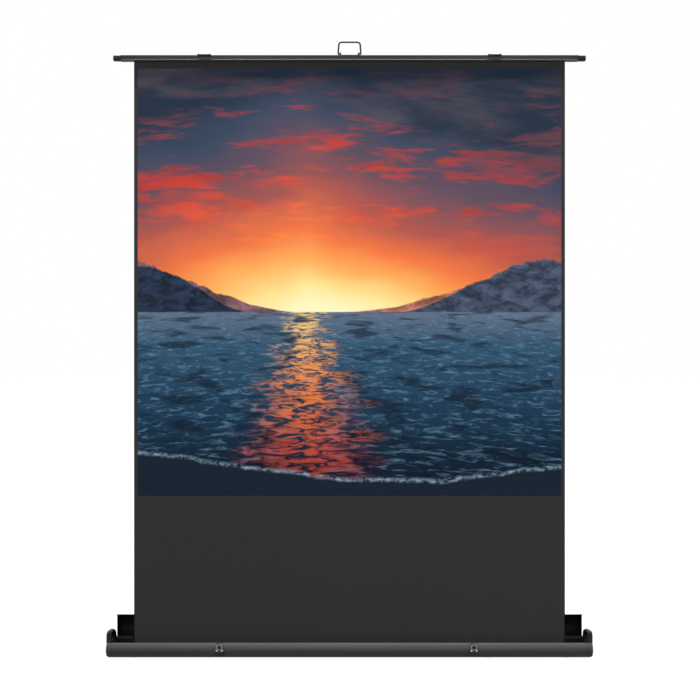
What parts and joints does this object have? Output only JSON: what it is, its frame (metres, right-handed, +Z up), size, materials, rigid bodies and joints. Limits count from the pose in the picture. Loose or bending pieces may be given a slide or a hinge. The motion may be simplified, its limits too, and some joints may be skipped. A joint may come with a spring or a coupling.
{
  "type": "portable projector screen",
  "caption": "Floor-standing pull-up projection screen: long slim case with hinged lid, roller and scissor lift, black-bordered fabric, top bar with wire handle.",
  "frame": {"origin": "on the floor, at the middle of the centre pad under the case", "axes": "+X along the case to the viewer's right, the picture faces -Y, +Z up"},
  "size_m": [1.742, 0.1561, 2.2225],
  "materials": {
    "case_paint": "satin black anodised aluminium",
    "bar_paint": "satin dark grey anodised aluminium",
    "arm_paint": "satin black paint",
    "black_moulding": "fine-grained black moulding",
    "silver_cover": "satin light grey moulding",
    "roller_tube": "rolled steel tube",
    "steel": "zinc-plated steel",
    "dark_steel": "blackened steel",
    "chrome": "bright plated steel",
    "rubber": "matte black rubber",
    "fabric": "coated screen cloth with matte black borders"
  },
  "bodies": {
    "case": {"base_tray": "case_paint", "end_cap_left": "black_moulding", "end_cap_right": "black_moulding", "end_cover_left": "silver_cover", "end_cover_right": "silver_cover", "end_pad_left": "rubber", "end_pad_right": "rubber", "centre_pad": "rubber", "roller_bracket_left": "steel", "roller_bracket_right": "steel", "screen_fabric": "fabric", "lower_track_left": "steel", "lower_track_right": "steel", "centre_bracket": "steel", "hinge_rod": "steel", "latch_base_left": "dark_steel", "latch_base_right": "dark_steel"},
    "roller": {"roller_tube": "roller_tube", "wound_fabric": "fabric", "roller_spring": "dark_steel", "roller_plug_left": "black_moulding", "roller_plug_right": "black_moulding"},
    "lid": {"lid_shell": "case_paint", "lid_end_left": "black_moulding", "lid_end_right": "black_moulding", "latch_keeper_left": "chrome", "latch_keeper_right": "chrome", "carry_mount_left": "black_moulding", "carry_mount_right": "black_moulding"},
    "carry_handle": {"carry_handle": "rubber"},
    "lower_link_rear": {"lower_link_rear": "arm_paint"},
    "lower_link_front": {"lower_link_front": "arm_paint"},
    "lower_arm_rear": {"lower_arm_rear": "arm_paint"},
    "lower_arm_front": {"lower_arm_front": "arm_paint"},
    "upper_arm_rear": {"upper_arm_rear": "arm_paint"},
    "upper_arm_front": {"upper_arm_front": "arm_paint"},
    "upper_link_rear": {"upper_link_rear": "arm_paint"},
    "upper_link_front": {"upper_link_front": "arm_paint"},
    "lower_carriage_left": {"lower_carriage_left": "black_moulding"},
    "lower_carriage_right": {"lower_carriage_right": "black_moulding"},
    "upper_carriage_left": {"upper_carriage_left": "black_moulding"},
    "upper_carriage_right": {"upper_carriage_right": "black_moulding"},
    "top_bar": {"top_bar": "bar_paint", "bar_plug_left": "black_moulding", "bar_plug_right": "black_moulding", "handle_base": "dark_steel", "top_bracket": "dark_steel", "top_link_pin": "steel"},
    "pull_handle": {"pull_handle": "dark_steel"},
    "latch_lever_left": {"latch_lever_left": "dark_steel"},
    "latch_lever_right": {"latch_lever_right": "dark_steel"},
    "latch_hook_left": {"latch_hook_left": "chrome"},
    "latch_hook_right": {"latch_hook_right": "chrome"},
    "foot_left": {"foot_bar_left": "dark_steel", "foot_tip_left_inner": "rubber", "foot_tip_left_outer": "rubber"},
    "foot_right": {"foot_bar_right": "dark_steel", "foot_tip_right_inner": "rubber", "foot_tip_right_outer": "rubber"}
  },
  "joints": [
    {"name": "lift_fold", "type": "hinge", "parent": "case", "child": "lower_link_rear", "pos_m": [0, 0, 0.026], "axis": [0, -1, 0], "range_deg": [0, 44.66], "deforming": ["screen_fabric"]},
    {"name": "lower_rear_arm_turn", "type": "hinge", "parent": "lower_link_rear", "child": "lower_arm_rear", "pos_m": [-0.2618, 0, 0.2925], "axis": [0, 1, 0], "range_deg": [0, 89.33]},
    {"name": "lower_cross_turn", "type": "hinge", "parent": "lower_arm_rear", "child": "lower_arm_front", "pos_m": [0, 0, 0.559], "axis": [0, -1, 0], "range_deg": [0, 89.33]},
    {"name": "lower_front_link_turn", "type": "hinge", "parent": "case", "child": "lower_link_front", "pos_m": [0, 0, 0.026], "axis": [0, 1, 0], "range_deg": [0, 44.67]},
    {"name": "left_elbow_turn", "type": "hinge", "parent": "lower_arm_front", "child": "upper_arm_rear", "pos_m": [-0.5236, 0, 1.092], "axis": [0, 1, 0], "range_deg": [0, 89.33]},
    {"name": "upper_cross_turn", "type": "hinge", "parent": "upper_arm_rear", "child": "upper_arm_front", "pos_m": [0, 0, 1.625], "axis": [0, -1, 0], "range_deg": [0, 89.33]},
    {"name": "upper_rear_link_turn", "type": "hinge", "parent": "upper_arm_rear", "child": "upper_link_rear", "pos_m": [0.2618, 0, 1.8915], "axis": [0, -1, 0], "range_deg": [0, 89.33]},
    {"name": "bar_level", "type": "hinge", "parent": "upper_link_rear", "child": "top_bar", "pos_m": [0, 0, 2.158], "axis": [0, 1, 0], "range_deg": [0, 44.67]},
    {"name": "upper_front_link_turn", "type": "hinge", "parent": "top_bar", "child": "upper_link_front", "pos_m": [0, 0, 2.158], "axis": [0, 1, 0], "range_deg": [0, 44.67]},
    {"name": "lower_left_carriage_turn", "type": "hinge", "parent": "lower_arm_rear", "child": "lower_carriage_left", "pos_m": [-0.5236, 0, 0.026], "axis": [0, -1, 0], "range_deg": [0, 44.67]},
    {"name": "lower_right_carriage_turn", "type": "hinge", "parent": "lower_arm_front", "child": "lower_carriage_right", "pos_m": [0.5236, 0, 0.026], "axis": [0, 1, 0], "range_deg": [0, 44.67]},
    {"name": "upper_right_carriage_turn", "type": "hinge", "parent": "upper_arm_rear", "child": "upper_carriage_right", "pos_m": [0.5236, 0, 2.158], "axis": [0, -1, 0], "range_deg": [0, 44.67]},
    {"name": "upper_left_carriage_turn", "type": "hinge", "parent": "upper_arm_front", "child": "upper_carriage_left", "pos_m": [-0.5236, 0, 2.158], "axis": [0, 1, 0], "range_deg": [0, 44.67]},
    {"name": "roller_spin", "type": "hinge", "parent": "case", "child": "roller", "pos_m": [0, -0.02, 0.033], "axis": [-1, 0, 0], "range_deg": [0, 5985]},
    {"name": "lid_hinge", "type": "hinge", "parent": "case", "child": "lid", "pos_m": [0, 0.052, 0.057], "axis": [1, 0, 0], "range_deg": [0, 12]},
    {"name": "carry_handle_swing", "type": "hinge", "parent": "lid", "child": "carry_handle", "pos_m": [0, 0.0928, 0.103], "axis": [1, 0, 0], "range_deg": [0, 75]},
    {"name": "pull_handle_fold", "type": "hinge", "parent": "top_bar", "child": "pull_handle", "pos_m": [0, -0.0025, 2.1765], "axis": [-1, 0, 0], "range_deg": [0, 85]},
    {"name": "latch_lever_left_lift", "type": "hinge", "parent": "case", "child": "latch_lever_left", "pos_m": [-0.464, -0.0553, 0.034], "axis": [-1, 0, 0], "range_deg": [0, 80]},
    {"name": "latch_lever_right_lift", "type": "hinge", "parent": "case", "child": "latch_lever_right", "pos_m": [0.444, -0.0553, 0.034], "axis": [-1, 0, 0], "range_deg": [0, 80]},
    {"name": "latch_hook_left_tilt", "type": "hinge", "parent": "case", "child": "latch_hook_left", "pos_m": [-0.464, -0.0553, 0.034], "axis": [1, 0, 0], "range_deg": [0, 45]},
    {"name": "latch_hook_right_tilt", "type": "hinge", "parent": "case", "child": "latch_hook_right", "pos_m": [0.444, -0.0553, 0.034], "axis": [1, 0, 0], "range_deg": [0, 45]},
    {"name": "foot_left_swivel", "type": "hinge", "parent": "case", "child": "foot_left", "pos_m": [-0.64, 0, 0.004], "axis": [0, 0, 1], "range_deg": [0, 90]},
    {"name": "foot_right_swivel", "type": "hinge", "parent": "case", "child": "foot_right", "pos_m": [0.64, 0, 0.004], "axis": [0, 0, 1], "range_deg": [0, 90]}
  ],
  "couplings": [
    {"joint": "lower_rear_arm_turn", "follows": "lift_fold", "ratio": 2},
    {"joint": "lower_cross_turn", "follows": "lift_fold", "ratio": 2},
    {"joint": "lower_front_link_turn", "follows": "lift_fold", "ratio": 1},
    {"joint": "left_elbow_turn", "follows": "lift_fold", "ratio": 2},
    {"joint": "upper_cross_turn", "follows": "lift_fold", "ratio": 2},
    {"joint": "upper_rear_link_turn", "follows": "lift_fold", "ratio": 2},
    {"joint": "bar_level", "follows": "lift_fold", "ratio": 1},
    {"joint": "upper_front_link_turn", "follows": "lift_fold", "ratio": 1},
    {"joint": "lower_left_carriage_turn", "follows": "lift_fold", "ratio": 1},
    {"joint": "lower_right_carriage_turn", "follows": "lift_fold", "ratio": 1},
    {"joint": "upper_right_carriage_turn", "follows": "lift_fold", "ratio": 1},
    {"joint": "upper_left_carriage_turn", "follows": "lift_fold", "ratio": 1},
    {"joint": "roller_spin", "follows": "lift_fold", "ratio": 134}
  ]
}
